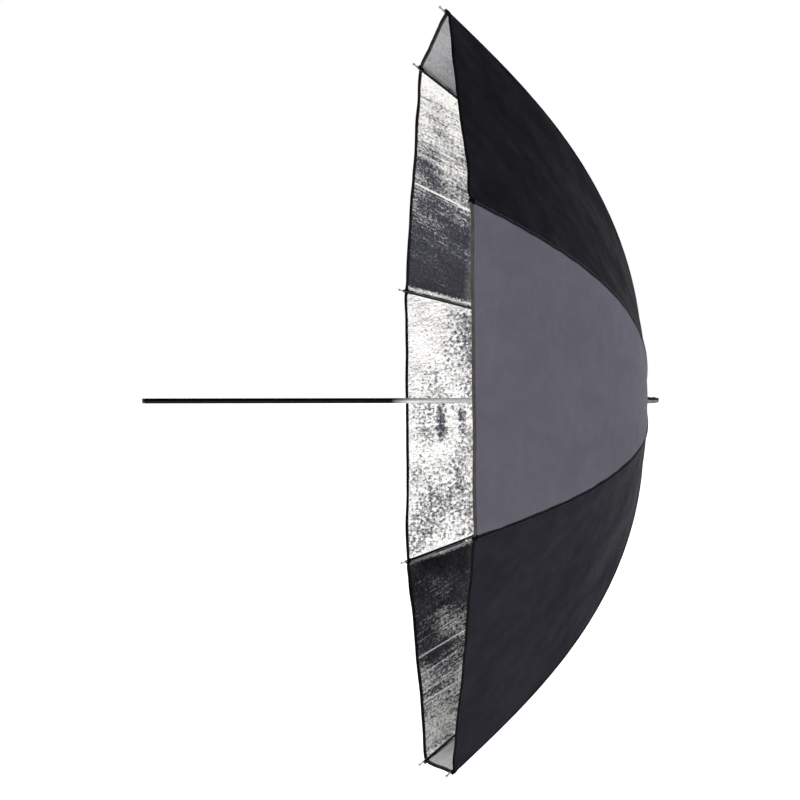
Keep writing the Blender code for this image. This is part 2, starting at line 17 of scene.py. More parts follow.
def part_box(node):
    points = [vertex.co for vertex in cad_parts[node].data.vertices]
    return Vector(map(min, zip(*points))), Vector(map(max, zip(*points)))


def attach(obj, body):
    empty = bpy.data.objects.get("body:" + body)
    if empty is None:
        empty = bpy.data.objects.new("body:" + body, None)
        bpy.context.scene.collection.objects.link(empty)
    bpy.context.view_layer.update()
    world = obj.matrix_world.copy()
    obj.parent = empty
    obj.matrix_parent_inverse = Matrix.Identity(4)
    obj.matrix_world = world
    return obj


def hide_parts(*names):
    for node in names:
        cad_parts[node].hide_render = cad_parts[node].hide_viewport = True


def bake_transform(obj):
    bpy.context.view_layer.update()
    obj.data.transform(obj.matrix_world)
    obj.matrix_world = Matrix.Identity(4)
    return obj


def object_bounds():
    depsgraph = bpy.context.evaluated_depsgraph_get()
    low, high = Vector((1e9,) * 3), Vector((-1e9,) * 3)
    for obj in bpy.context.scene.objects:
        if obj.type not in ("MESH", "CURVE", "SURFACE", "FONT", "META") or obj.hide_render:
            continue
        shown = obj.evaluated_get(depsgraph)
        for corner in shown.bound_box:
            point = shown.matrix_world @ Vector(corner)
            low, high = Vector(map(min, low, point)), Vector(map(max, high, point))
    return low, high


# The canopy's shape, as in the model
RIB_COUNT = 8
FIRST_RIB_ANGLE = radians(16.9)
RIB_STEP = tau / RIB_COUNT
HALF_STEP = RIB_STEP / 2
RIB_LENGTH = 0.6076
RIB_TIP_SLOPE = radians(46.9)
RIB_BEND_POWER = 1.15
CROWN_PIVOT_RADIUS = 0.0070
TIP_PLANE_X = 0.3275
MOUTH_X = 0.305  # where the shaft leaves the canopy
CLOTH_START = 0.0050  # the share of a rib's length where the cloth begins, under the crown's cap
GREY_PANEL = 2
RIB_DROP = 0.0009  # from the canopy's inner line to the rib's outer face
RIB_WIDTH = 0.0034
RIB_DEPTH = 0.0024

# The cloth itself
INNER_LIFT = 0.00055
OUTER_LIFT = 0.00105
HEM_WIDTH = 0.0050
HEM_PROUD = 0.00045
HEM_LIP = 0.0004
HEM_STITCH_ROW = 0.78  # the row's share of the hem's width, from the edge
SEAM_ENDS = (0.028, 0.996)  # shares of a rib's length
SEAM_HALF_WIDTH = 0.0024
SEAM_PROUD = 0.0006
SEAM_PROFILE = ((-1.0, 0.0), (-0.86, 0.75), (-0.35, 0.92), (0.0, 1.0), (0.35, 0.92), (0.86, 0.75), (1.0, 0.0))
SEAM_STITCH_ROWS = (-0.62, 0.62)  # shares of the seam's half width
PIPED_SIDES = (4, 5)  # the sides of a seam's ring that show the grey cloth's folded edge
POCKET_LENGTH = 0.0085
POCKET_PAST = 0.0012  # how far a pocket reaches past the hem
POCKET_HALF_WIDTH = 0.0040
POCKET_TAPER = 0.0018
STITCH_PITCH = 0.0036
STITCH_LENGTH = 0.0026
STITCH_GAP = 0.15  # the share of a pitch before each stitch
STITCH_RADIUS = 0.00022
TIE_PLACES = (0.30, 0.55, 0.80)  # shares of a rib's length where it is tied to its seam
TIE_TURNS = (-0.0009, -0.0003, 0.0003, 0.0009)
TIE_RADIUS = 0.00028

# How far the cloth leaves its stretched surface
BOW = 0.0014
CREASE_RIDGE = 0.0002
PUCKER = 0.0010
PULL = 0.0058
WAVE = 0.0016
SCALLOP = 0.0006
GREY_CALM = 0.45  # the grey panel is smoother than the others

# The crown's cap
CAP_BORE = 0.0038
CAP_THICKNESS = 0.00055
CAP_POINTS = 36
CAP_STITCHES = 30
CAP_STITCH_SHARE = 0.68
CAP_STITCH_RING = 0.80

# The linings and the patterns of the cloth
# Painted light in the linings: per-panel tones near the hem, a brightening towards the hem and a highlight
# strip along each seam.
PAINTED_LIGHT_FADE = (0.40, 0.50)  # along a rib, where the lining changes to the look that it has near the hem
CLEAR_LINE = 0.545  # along a rib: the middle of the stretch where a lining clears towards its hem
SEAM_STRIP = (0.0045, 0.0105)  # from a rib, where the bright strip of its seam ends
CLOTH_TILE = 3.0  # how far apart two panels lie in the pattern, so that no two look alike
WEAVE_PITCH = 0.0007
TAPE_PITCH = 0.0009
TWIST_PITCH = 0.0005
# Painted dark reflections in the lining opposite the grey panel: middle across and along, half size across
# and along
PAINTED_REFLECTIONS = ((0.004, 0.540, 0.038, 0.013), (0.003, 0.502, 0.032, 0.011))

# The view and the studio
CAMERA_TURN = radians(5.124)
CAMERA_DOWN = 0.0203
CAMERA_DISTANCE = 4.310
SENSOR = 36.0
LENS = 145.971
AIM_RIGHT = -0.010790  # from the middle of the canopy's mouth, as a share of the distance to it
AIM_UP = 0.000185
CLIP_END = 60
CANOPY_MIDDLE = (0.4, 0, 0)
FLOOR_BELOW = 0.30
FLOOR_SIDE = 80.0
FLOOR_CELLS = 6
FLOOR_GLOW = 1.20
ROOM_LIGHT = 0.14  # the room's strength behind the camera and overhead, against 1 for the white backdrop
ROOM_EDGE = (-0.9, -0.4)  # where the room gives way to the backdrop, along Y
CEILING_DARK = 3.0  # how soon the room takes over with height

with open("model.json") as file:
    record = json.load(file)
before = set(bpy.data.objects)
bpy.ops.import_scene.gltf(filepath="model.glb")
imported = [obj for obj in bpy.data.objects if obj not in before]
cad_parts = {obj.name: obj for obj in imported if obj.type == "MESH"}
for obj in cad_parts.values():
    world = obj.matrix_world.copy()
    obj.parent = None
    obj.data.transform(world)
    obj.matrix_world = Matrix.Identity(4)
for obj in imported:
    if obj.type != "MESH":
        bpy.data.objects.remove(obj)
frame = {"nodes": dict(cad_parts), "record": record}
cad_box = [list(corner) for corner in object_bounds()]


# Geometry of the canopy


def rib_line(share):
    """x, radius and slope of the canopy's inner line over a rib, at a share of the rib's length."""
    steps = 60
    x, r = 0.0, CROWN_PIVOT_RADIUS
    for i in range(steps):
        slope = RIB_TIP_SLOPE * sin(pi / 2 * (share * (i + 0.5) / steps) ** RIB_BEND_POWER)
        x -= sin(slope) * RIB_LENGTH * share / steps
        r += cos(slope) * RIB_LENGTH * share / steps
    return x, r, RIB_TIP_SLOPE * sin(pi / 2 * share**RIB_BEND_POWER)


CROWN_X = TIP_PLANE_X - rib_line(1.0)[0]
LINES = {}


def line_at(share):
    """As rib_line, remembered."""
    key = round(share, 6)
    if key not in LINES:
        LINES[key] = rib_line(key)
    return LINES[key]


def rib_angle(index):
    return FIRST_RIB_ANGLE + (index - 1) * RIB_STEP


def about_shaft(angle):
    return Matrix.Rotation(angle, 3, "X")


def cloth_point(share, across, side, lift):
    """A point of a half panel beside the upright rib. side is 1 for the half past the rib, -1 before it."""
    x, r, slope = line_at(share)
    forward, outward = cos(slope) * cos(HALF_STEP), sin(slope)
    steep = hypot(forward, outward)
    middle = r * cos(HALF_STEP) + lift * outward / steep
    at_rib = -middle * sin(HALF_STEP) / cos(HALF_STEP)
    t = at_rib * (1 - across)
    y = -(middle * sin(HALF_STEP) + t * cos(HALF_STEP))
    z = middle * cos(HALF_STEP) - t * sin(HALF_STEP)
    return Vector((CROWN_X + x + lift * forward / steep, side * y, z))


def rib_point(share, over, lift):
    """A point over the upright rib: over is across the rib and lift is out from the canopy's inner line."""
    x, r, slope = line_at(min(share, 1.0))
    past = max(share - 1.0, 0.0) * RIB_LENGTH
    x -= sin(slope) * past
    r += cos(slope) * past
    return Vector((CROWN_X + x + lift * cos(slope), over, r + lift * sin(slope)))


def smooth_step(low, high, value):
    t = min(max((value - low) / (high - low), 0.0), 1.0)
    return t * t * (3 - 2 * t)


def drape(panel, share, across, side):
    """How far the cloth stands out from its stretched surface: puckers by the seams and pulls at the hem.

    The two halves of a panel meet at the crease, where only its own low ridge lifts them.
    """
    half = line_at(share)[1] * sin(HALF_STEP)
    from_rib = half * across
    from_crease = half * (1 - across)
    along = RIB_LENGTH * share
    from_hem = RIB_LENGTH - along
    seed = panel * 7.3
    u = side * -from_crease
    fade = smooth_step(0.0, 0.05, from_rib + 0.004) * smooth_step(0.0, 0.10, along)
    bow = -BOW * sin(pi * across) ** 2 * sin(pi * share)
    near_crease = smooth_step(0.0, 0.030, from_crease)
    ridge = CREASE_RIDGE * exp(-from_crease / 0.007) * smooth_step(0.06, 0.2, share)
    pucker = noise.noise((along * 46 - from_rib * 34, from_rib * 10, seed + side)) * exp(-from_rib / 0.020)
    pucker *= smooth_step(0.0, 0.003, from_rib)
    pull = noise.noise((from_rib * 16 - from_hem * 5, from_hem * 17 - from_rib * 8, seed + 20 + side))
    pull *= exp(-hypot(from_rib - 0.02, from_hem * 0.8) / 0.10) * smooth_step(0.0, 0.012, from_rib)
    wave = noise.noise((u * 9 + along * 5, along * 7 - u * 4, seed + 40))
    wave += 0.5 * noise.noise((u * 21 - along * 13, along * 15 + u * 11, seed + 60))
    calm = GREY_CALM if panel == GREY_PANEL else 1.0
    scallop = noise.noise((u * 24, seed, 80.0)) * exp(-from_hem / 0.012) * smooth_step(0.0, 0.02, from_rib)
    loose = PUCKER * pucker + calm * (PULL * pull + WAVE * wave * fade) + SCALLOP * scallop
    return ridge + (bow + loose) * near_crease


def draped_point(panel, share, across, side, lift):
    return cloth_point(share, across, side, lift + drape(panel, share, across, side))


# Mesh helpers


def new_piece(name, mesh):
    piece = bpy.data.objects.new(name, mesh)
    bpy.context.scene.collection.objects.link(piece)
    return piece


def build_mesh(name, points, faces, slots=None, uvs=None, smooth=True, sharp=radians(40)):
    """A mesh from points and faces, with a material slot for each face and a (u, v) for each point."""
    mesh = bpy.data.meshes.new(name)
    mesh.from_pydata(points, [], faces)
    if slots:
        mesh.polygons.foreach_set("material_index", slots)
    if uvs:
        layer = mesh.uv_layers.new(name="UVMap")
        layer.data.foreach_set("uv", [c for loop in mesh.loops for c in uvs[loop.vertex_index]])
    if smooth:
        mesh.shade_smooth()
        mesh.set_sharp_from_angle(angle=sharp)
    mesh.update()
    return mesh


def fix_normals(mesh):
    shape = bmesh.new()
    shape.from_mesh(mesh)
    bmesh.ops.recalc_face_normals(shape, faces=shape.faces)
    shape.to_mesh(mesh)
    shape.free()


def tube_faces(rings, count):
    """Faces that join rings of count points, one to the next, and close both ends."""
    faces = []
    for i in range(rings - 1):
        for n in range(count):
            m = (n + 1) % count
            faces.append((i * count + n, i * count + m, (i + 1) * count + m, (i + 1) * count + n))
    faces.append(tuple(range(count)))
    faces.append(tuple((rings - 1) * count + n for n in reversed(range(count))))
    return faces


def add_stitch(points, uvs, weights, faces, slots, ends, places):
    """A stitch between two ends of four corners each."""
    start = len(points)
    for end, place in zip(ends, places):
        points.extend(end)
        uvs.extend([(place, 0.0)] * 4)
        weights.extend([place] * 4)
    for n in range(4):
        m = (n + 1) % 4
        faces.append((start + n, start + m, start + 4 + m, start + 4 + n))
        slots.append(1)
    faces.append((start, start + 1, start + 2, start + 3))
    faces.append((start + 7, start + 6, start + 5, start + 4))
    slots.extend([1, 1])


def add_materials(piece, *materials):
    for material in materials:
        piece.data.materials.append(material)


def blend_across(piece):
    """Bakes the cloth piece's placement into its mesh."""
    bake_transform(piece)


# Finishes


class Finish:
    """A Principled material and short calls to wire nodes into it."""

    def __init__(self, name):
        self.material = bpy.data.materials.new(name)
        self.material.use_nodes = True
        self.tree = self.material.node_tree
        self.shader = self.tree.nodes["Principled BSDF"]

    def set(self, **values):
        for name, value in values.items():
            self.put(self.shader.inputs[name.replace("_", " ")], value)

    def put(self, socket, value):
        if isinstance(value, bpy.types.NodeSocket):
            self.tree.links.new(value, socket)
        elif isinstance(value, tuple) and len(value) == 3 and socket.type == "RGBA":
            socket.default_value = (*value, 1)
        else:
            socket.default_value = value

    def node(self, kind, inputs=(), out=0, **settings):
        made = self.tree.nodes.new("ShaderNode" + kind)
        for name, value in settings.items():
            setattr(made, name, value)
        for name, value in dict(inputs).items():
            self.put(made.inputs[name], value)
        return made.outputs[out]

    def math(self, operation, a, b=0.0, c=0.0):
        return self.node("Math", {0: a, 1: b, 2: c}, operation=operation)

    def uv(self, name="UVMap"):
        return self.node("UVMap", uv_map=name)

    def object_space(self):
        return self.node("TexCoord", out=3)

    def scaled(self, vector, x, y, z=1.0, turn=0.0):
        return self.node("Mapping", {"Vector": vector, "Scale": (x, y, z), "Rotation": (0, 0, turn)})

    def noise(self, vector, scale, detail=3.0, rough=0.5, distortion=0.0):
        inputs = {"Vector": vector, "Scale": scale, "Detail": detail, "Roughness": rough}
        return self.node("TexNoise", {**inputs, "Distortion": distortion})

    def ramp(self, value, *stops):
        made = self.tree.nodes.new("ShaderNodeValToRGB")
        self.put(made.inputs[0], value)
        ramp = made.color_ramp
        while len(ramp.elements) < len(stops):
            ramp.elements.new(0.5)
        for element, (place, colour) in zip(ramp.elements, stops):
            element.position = place
            element.color = (*colour, 1)
        return made.outputs[0]

    def span(self, value, low, high, to_low, to_high):
        inputs = {"Value": value, "From Min": low, "From Max": high, "To Min": to_low, "To Max": to_high}
        return self.node("MapRange", inputs)

    def mix(self, factor, a, b):
        made = self.tree.nodes.new("ShaderNodeMix")
        made.data_type = "RGBA"
        self.put(made.inputs[0], factor)
        self.put(made.inputs[6], a)
        self.put(made.inputs[7], b)
        return made.outputs[2]

    def bump(self, height, distance, strength=1.0, normal=None):
        inputs = {"Height": height, "Distance": distance, "Strength": strength}
        if normal:
            inputs["Normal"] = normal
        return self.node("Bump", inputs)

    def separate(self, vector):
        made = self.tree.nodes.new("ShaderNodeSeparateXYZ")
        self.put(made.inputs[0], vector)
        return made.outputs


def weave_height(finish, uv, pitch):
    """Threads over and under each other, as a height from 0 to 1."""
    threads = {"Vector": uv, "Scale": 1 / pitch / tau, "Distortion": 0.6, "Detail": 1.0}
    warp = finish.node("TexWave", threads)
    weft = finish.node("TexWave", threads, bands_direction="Y")
    return finish.math("MULTIPLY", warp, weft)


def shell_cloth(name, colour, tint, roughness, sheen, dented):
    """Coated nylon: fine weave, faint blotches, and soft dents, dented deep, where it has been folded."""
    made = Finish(name)
    uv = made.uv()
    weave = weave_height(made, uv, WEAVE_PITCH)
    blotch = made.noise(uv, 9, 3, 0.55, 0.3)
    mottle = made.noise(uv, 60, 4, 0.6)
    grain = made.noise(uv, 700, 2, 0.6)
    shade = made.mix(made.span(blotch, 0.36, 0.64, 0.0, 1.0), colour, tint)
    shade = made.mix(made.span(mottle, 0.40, 0.65, 0.0, 0.30), shade, tuple(c * 0.75 for c in colour))
    shade = made.mix(made.span(grain, 0.3, 0.7, 0.0, 0.35), shade, tuple(c * 1.5 for c in colour))
    dents = made.noise(made.scaled(uv, 1, 0.7, 1, radians(35)), 22, 1, 0.4)
    normal = made.bump(dents, dented)
    normal = made.bump(weave, 0.00006, 0.6, normal)
    rough = made.span(mottle, 0.35, 0.65, roughness - 0.08, roughness)
    made.set(Base_Color=shade, Roughness=rough, Normal=normal)
    made.set(Sheen_Weight=sheen, Sheen_Roughness=0.4, Sheen_Tint=(0.75, 0.78, 1.0))
    made.set(Specular_IOR_Level=0.012, Specular_Tint=(0.80, 0.74, 1.0))
    return made.material


def add_painted_reflections(finish, uv, panel, tone, dark_reflections):
    """The tone of a lining, lowered inside each of its oval marks: painted dark reflections."""
    for across, along, wide, long in dark_reflections:
        scale = (1 / wide, 1 / long, 1)
        shift = (-(panel * CLOTH_TILE + across) / wide, -along / long, 0)
        near = finish.node("Mapping", {"Vector": uv, "Scale": scale, "Location": shift})
        reach = finish.node("VectorMath", {0: near}, out=1, operation="LENGTH")
        tone = finish.math("SUBTRACT", tone, finish.span(reach, 0.2, 1.0, 0.14, 0.0))
    return tone


def silver_lining(
    name, panel, ground, bright, painted_brightness, painted_slope=0.0, soften=0.06, fleck_scale=290, clear=0.0, dark_reflections=()
):
    """Crinkled silver lamination of one panel, with its fold crease down the middle and its seam allowances.

    The two tones after the panel are those of dull and bright facets near the hem: painted light, lighter or
    darker per panel as the light falls on it. The next number raises the painted brightness all over, the one
    after slopes it towards the second rib or, if negative, the first, and a later number brightens it towards
    the hem; the marks given last are painted dark reflections. A panel whose painted light slopes a lot is
    streaky, with a painted highlight strip along its seams. Further in, all panels are alike.
    """
    made = Finish(name)
    uv = made.uv()
    along = made.separate(uv)
    from_rib = made.separate(made.uv("Edges"))[0]
    streaks = made.noise(made.scaled(uv, 1.0, 0.11), 120, 4, 0.6, 0.2)
    fleck = made.noise(made.scaled(uv, 1.0, 0.7), fleck_scale, 4, 0.65, 0.2)
    cloud = made.noise(uv, 15, 3, 0.55)
    cloudy = made.math("MULTIPLY", made.math("SUBTRACT", cloud, 0.5), 0.40)
    streaky = abs(painted_slope) > 0.5
    streak_share, shine = (0.32, 0.30) if streaky else (0.08, 0.08)
    tone = made.math("MULTIPLY_ADD", streaks, streak_share, made.math("MULTIPLY", fleck, 0.62))
    # Painted light: the whole panel's tone raised or lowered, and sloped towards one rib.
    from_middle = made.math("SUBTRACT", along[0], panel * CLOTH_TILE)
    balance = made.math("MULTIPLY_ADD", from_middle, painted_slope, painted_brightness)
    tone = made.math("ADD", made.math("ADD", tone, cloudy), balance)
    # Painted light: brighter towards the hem.
    clearing = made.math("MULTIPLY", made.math("SUBTRACT", along[1], CLEAR_LINE), clear)
    # Painted reflections: the tone lowered inside dark oval marks.
    tone = add_painted_reflections(made, uv, panel, made.math("ADD", tone, clearing), dark_reflections)
    creases = made.noise(made.scaled(uv, 1.0, 0.02), 24, 2, 0.5)
    fold = made.math("ABSOLUTE", made.math("SUBTRACT", creases, 0.5))
    # Painted highlights: bright lines down the fold crease and along scattered creases, whose bumps are real.
    crease_highlight = made.span(made.math("ABSOLUTE", from_middle), 0.0005, 0.0022, shine, 0.0)
    line = made.math("MAXIMUM", made.span(fold, 0.0, 0.008, shine / 3, 0.0), crease_highlight)
    ragged = made.math("MULTIPLY_ADD", made.math("SUBTRACT", fleck, 0.5), -0.020, from_rib)
    # Painted highlight: a bright strip along each seam, added to the tone near the hem and, halved, further
    # in.
    painted_highlights = made.math("MAXIMUM", line, made.span(ragged, *SEAM_STRIP, shine, 0.0))
    half_way = tuple((a + b) / 2 for a, b in zip(ground, bright))
    lightest = tuple(c * 2.6 for c in ground)
    low = 0.5 - soften
    stops = (low - 0.16, ground), (low - 0.02, lightest), (0.5, half_way), (0.5 + soften, bright)
    by_hem = made.ramp(made.math("ADD", tone, painted_highlights), *stops)
    if streaky:
        # Painted highlight: a near-white strip along the seams of a streaky panel.
        by_hem = made.mix(made.span(ragged, *SEAM_STRIP, 0.85, 0.0), by_hem, (0.96, 0.95, 0.93))
    inner_tone = made.math("MULTIPLY_ADD", streaks, 0.42, made.math("MULTIPLY", fleck, 0.58))
    inner_tone = made.math("ADD", made.math("ADD", inner_tone, cloudy), made.math("MULTIPLY", painted_highlights, 0.5))
    stops = (0.40, (0.24, 0.24, 0.25)), (0.52, (0.52, 0.52, 0.53)), (0.64, (0.80, 0.79, 0.79))
    inner = made.ramp(inner_tone, *stops)
    # Near the hem the per-panel painted light takes over from the plain inner look.
    base = made.mix(made.span(along[1], *PAINTED_LIGHT_FADE, 0.0, 1.0), inner, by_hem)
    normal = made.bump(made.noise(uv, 24, 4, 0.6), 0.004)
    normal = made.bump(fleck, 0.0012, normal=normal)
    normal = made.bump(line, 0.0008, normal=normal)
    rough = made.span(fleck, 0.35, 0.65, 0.48, 0.27)
    made.set(Base_Color=base, Metallic=0.85, Roughness=rough, Normal=normal)
    return made.material


def tape_cloth(name, colour):
    """Ribbed binding tape."""
    made = Finish(name)
    uv = made.uv()
    ribs = made.node("TexWave", {"Vector": uv, "Scale": 1 / TAPE_PITCH / tau, "Distortion": 0.4})
    fuzz = made.noise(uv, 900, 3, 0.6)
    wear = made.noise(uv, 60, 3, 0.6)
    shade = made.mix(made.span(wear, 0.4, 0.7, 0.0, 0.5), colour, tuple(c * 1.8 + 0.003 for c in colour))
    normal = made.bump(ribs, 0.00012, 0.8)
    normal = made.bump(fuzz, 0.0001, normal=normal)
    made.set(Base_Color=shade, Roughness=made.span(fuzz, 0.3, 0.7, 0.70, 0.86), Normal=normal)
    made.set(Specular_IOR_Level=0.02)
    return made.material


def thread(name, colour):
    """Twisted polyester thread."""
    made = Finish(name)
    place = made.object_space()
    turned = made.scaled(place, 1, 1, 1, radians(40))
    twist = made.node("TexWave", {"Vector": turned, "Scale": 1 / TWIST_PITCH / tau})
    fibre = made.noise(place, 3000, 2, 0.6)
    shade = made.mix(made.span(fibre, 0.3, 0.7, 0.0, 0.6), colour, tuple(c * 0.6 for c in colour))
    made.set(Base_Color=shade, Roughness=made.span(fibre, 0.3, 0.7, 0.45, 0.7))
    made.set(Sheen_Weight=0.3, Sheen_Roughness=0.4, Normal=made.bump(twist, 0.00008))
    return made.material


def metal(name, colour, roughness, scratch, along, dull=0.0, painted_dark_reflection=None):
    """Plated steel: drawn or handled marks, faint cloudiness, and duller patches.

    scratch is how far the marks change its roughness, along stretches them, and dull deepens the patches.
    Where a dark tone is given for the shaft, it is a painted reflection: the outer length is painted near
    black, for the dark room that the chrome shows there, nearly as far as the canopy's mouth.
    """
    made = Finish(name)
    place = made.object_space()
    marks = made.noise(made.node("Mapping", {"Vector": place, "Scale": along}), 2600, 4, 0.65)
    cloud = made.noise(place, 85, 4, 0.55)
    spots = made.noise(place, 900, 2, 0.5)
    if painted_dark_reflection:
        # Painted reflection: near black on the shaft's outer length, fading to the chrome's own colour just
        # before the canopy's mouth.
        reach = made.span(made.separate(place)[0], MOUTH_X - 0.036, MOUTH_X - 0.008, 0.0, 1.0)
        colour = made.mix(reach, painted_dark_reflection, colour)
        worn_and_shaded = made.mix(0.8, (0, 0, 0), colour)
        pitted = made.mix(0.45, (0, 0, 0), colour)
    else:
        worn_and_shaded = tuple(c * (0.82 - dull) for c in colour)
        pitted = tuple(c * 0.45 for c in colour)
    rough = made.math("MULTIPLY_ADD", made.math("SUBTRACT", marks, 0.5), scratch, roughness)
    rough = made.math("MULTIPLY_ADD", made.span(cloud, 0.5, 0.75, 0.0, 1.0), 0.10 + dull, rough)
    shade = made.mix(made.span(cloud, 0.45, 0.75, 0.0, 1.0), colour, worn_and_shaded)
    shade = made.mix(made.span(spots, 0.70, 0.78, 0.0, 0.6), shade, pitted)
    normal = made.bump(marks, 0.00002, 0.5)
    made.set(Base_Color=shade, Metallic=1.0, Roughness=rough, Normal=normal)
    return made.material


def moulded(name, colour):
    """Moulded plastic: fine spark grain, smoother where hands have rubbed it."""
    made = Finish(name)
    place = made.object_space()
    grain = made.noise(place, 2400, 3, 0.6)
    rub = made.noise(place, 60, 3, 0.55)
    scuff = made.noise(made.node("Mapping", {"Vector": place, "Scale": (1, 6, 6)}), 420, 3, 0.6)
    shade = made.mix(made.span(scuff, 0.62, 0.72, 0.0, 0.4), colour, tuple(c * 2.5 + 0.01 for c in colour))
    rough = made.span(rub, 0.35, 0.65, 0.55, 0.38)
    made.set(Base_Color=shade, Roughness=rough, Normal=made.bump(grain, 0.00005))
    return made.material


# Cloth pieces

# A half panel has rows from crown to hem, and columns from rib to crease that are closer at both
ROWS = 120
COLUMNS = (0.0, 0.012, 0.03, 0.055, 0.09, 0.13, 0.18, 0.23, 0.28, 0.34, 0.40, 0.46, 0.52, 0.58, 0.64, 0.70)
COLUMNS += (0.76, 0.81, 0.86, 0.90, 0.935, 0.96, 0.98, 1.0)


def cloth_uv(panel, share, across, side):
    half = line_at(share)[1] * sin(HALF_STEP)
    return panel * CLOTH_TILE + side * -half * (1 - across), RIB_LENGTH * share


def half_panel(panel, half, side, rib, materials):
    """Half a panel, from its rib to the fold crease: the shell outside and the silver lining inside."""
    shares = [CLOTH_START + (1 - CLOTH_START) * i / ROWS for i in range(ROWS + 1)]
    turn = about_shaft(rib_angle(rib))
    points, uvs, edges, weights = [], [], [], []
    for lift in (OUTER_LIFT, INNER_LIFT):
        for share in shares:
            for across in COLUMNS:
                points.append(turn @ draped_point(panel, share, across, side, lift))
                uvs.append(cloth_uv(panel, share, across, side))
                edges.append((line_at(share)[1] * sin(HALF_STEP) * across, RIB_LENGTH * (1 - share)))
                weights.append(across)
    wide, layer = len(COLUMNS), len(COLUMNS) * (ROWS + 1)
    faces, slots = [], []

    def quad(a, b, c, d, slot_index):
        faces.append((a, b, c, d) if side > 0 else (d, c, b, a))
        slots.append(slot_index)

    for i in range(ROWS):
        for j in range(wide - 1):
            a = i * wide + j
            quad(a, a + 1, a + wide + 1, a + wide, 0)
            quad(layer + a + wide, layer + a + wide + 1, layer + a + 1, layer + a, 1)
    for i in range(ROWS):
        for j, flip in ((0, False), (wide - 1, True)):
            a, b = i * wide + j, (i + 1) * wide + j
            ends = (a, b, layer + b, layer + a) if not flip else (layer + a, layer + b, b, a)
            quad(*ends, 0)
    for j in range(wide - 1):
        for i, flip in ((0, True), (ROWS, False)):
            a = i * wide + j
            ends = (a, a + 1, layer + a + 1, layer + a) if not flip else (layer + a, layer + a + 1, a + 1, a)
            quad(*ends, 0)
    name = f"cloth_{panel}_{half}"
    mesh = build_mesh(name, points, faces, slots, uvs, sharp=radians(60))
    second = mesh.uv_layers.new(name="Edges")
    second.data.foreach_set("uv", [c for loop in mesh.loops for c in edges[loop.vertex_index]])
    mesh.uv_layers["UVMap"].active = True
    mesh.uv_layers["UVMap"].active_render = True
    fix_normals(mesh)
    piece = new_piece(name, mesh)
    add_materials(piece, *materials)
    blend_across(piece)
    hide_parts(f"canopy_panel_{panel}_{half}")
    return piece


def hem_stitch_end(at, share, lift, rise, across):
    """The four corners of the end of a stitch in a hem: a small lens across the row."""
    half = STITCH_RADIUS / RIB_LENGTH
    return [
        at(share - half, across, lift),
        at(share, across, lift + rise),
        at(share + half, across, lift),
        at(share, across, lift - rise),
    ]


def hem_strip(panel, half, side, rib, tape, sewing):
    """The binding folded round the cloth's edge, with a row of stitches on each face."""
    steps = 64
    fold = HEM_WIDTH / RIB_LENGTH
    lip = HEM_LIP / RIB_LENGTH
    turn = about_shaft(rib_angle(rib))
    out, back = OUTER_LIFT + HEM_PROUD, INNER_LIFT - HEM_PROUD
    middle = 1 - fold * 0.5
    section = (1 - fold, OUTER_LIFT - 0.0001), (1 - fold * 0.97, out), (middle, out + 0.0001), (1.0, out)
    section += (1 + lip, (out + back) / 2), (1.0, back), (middle, back - 0.0001), (1 - fold * 0.97, back)
    section += ((1 - fold, INNER_LIFT + 0.0001),)
    points, uvs, weights = [], [], []

    def at(share, across, lift):
        base = draped_point(panel, min(share, 1.0), across, side, lift)
        if share > 1:
            base += rib_point(share, 0, 0) - rib_point(1.0, 0, 0)
        return turn @ base

    for i in range(steps + 1):
        across = i / steps
        for n, (share, lift) in enumerate(section):
            points.append(at(share, across, lift))
            uvs.append((cloth_uv(panel, 1.0, across, side)[0], n * 0.0012))
            weights.append(across)
    faces = tube_faces(steps + 1, len(section))
    slots = [0] * len(faces)
    row_share = 1 - fold * HEM_STITCH_ROW
    stitches = int(line_at(1.0)[1] * sin(HALF_STEP) / STITCH_PITCH)
    for face_lift, rise in ((out, STITCH_RADIUS), (back, -STITCH_RADIUS)):
        for i in range(stitches):
            first = (i + STITCH_GAP) / stitches
            last = first + STITCH_LENGTH / STITCH_PITCH / stitches
            ends = [hem_stitch_end(at, row_share, face_lift, rise, place) for place in (first, last)]
            add_stitch(points, uvs, weights, faces, slots, ends, (first, last))
    name = f"hem_{panel}_{half}"
    mesh = build_mesh(name, points, faces, slots, uvs, sharp=radians(45))
    fix_normals(mesh)
    piece = new_piece(name, mesh)
    add_materials(piece, tape, sewing)
    blend_across(piece)
    return piece


def seam_stitch_end(over, share, place):
    """The four corners of the end of a stitch in a seam, on the ridge's outer face."""
    lift = OUTER_LIFT + SEAM_PROUD * 0.84
    return [
        over(share, place - STITCH_RADIUS, lift),
        over(share, place, lift + STITCH_RADIUS),
        over(share, place + STITCH_RADIUS, lift),
        over(share, place, lift - 0.0002),
    ]


